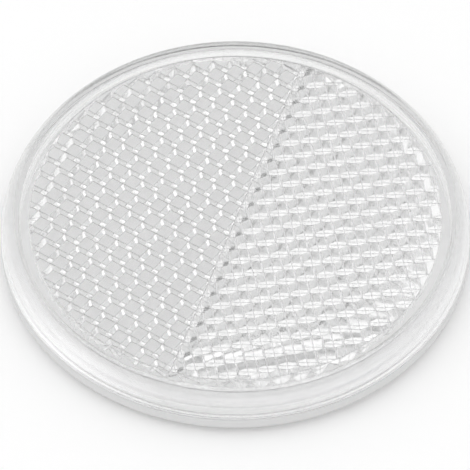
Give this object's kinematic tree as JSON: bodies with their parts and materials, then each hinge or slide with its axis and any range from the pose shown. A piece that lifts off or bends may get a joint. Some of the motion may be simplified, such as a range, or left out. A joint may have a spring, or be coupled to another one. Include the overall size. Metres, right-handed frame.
{
  "type": "adhesive reflector",
  "caption": "Round clear retroreflector with moulded cube corner prisms in opposed halves, welded to a shallow tray with a foam adhesive pad underneath.",
  "frame": {"origin": "centre of the underside of the release liner", "axes": "+Z out of the reflecting face, +Y away from the viewer of the picture, +X to the viewer's right"},
  "size_m": [0.06, 0.06, 0.0071],
  "materials": {
    "clear_acrylic": "clear polished acrylic, moulded",
    "tray_plastic": "pale grey moulded plastic, satin",
    "adhesive_foam": "fine closed-cell foam",
    "liner_film": "smooth release film"
  },
  "bodies": {
    "root": {"lens": "clear_acrylic", "back_plate": "tray_plastic", "adhesive_pad": "adhesive_foam", "release_liner": "liner_film"}
  },
  "joints": []
}
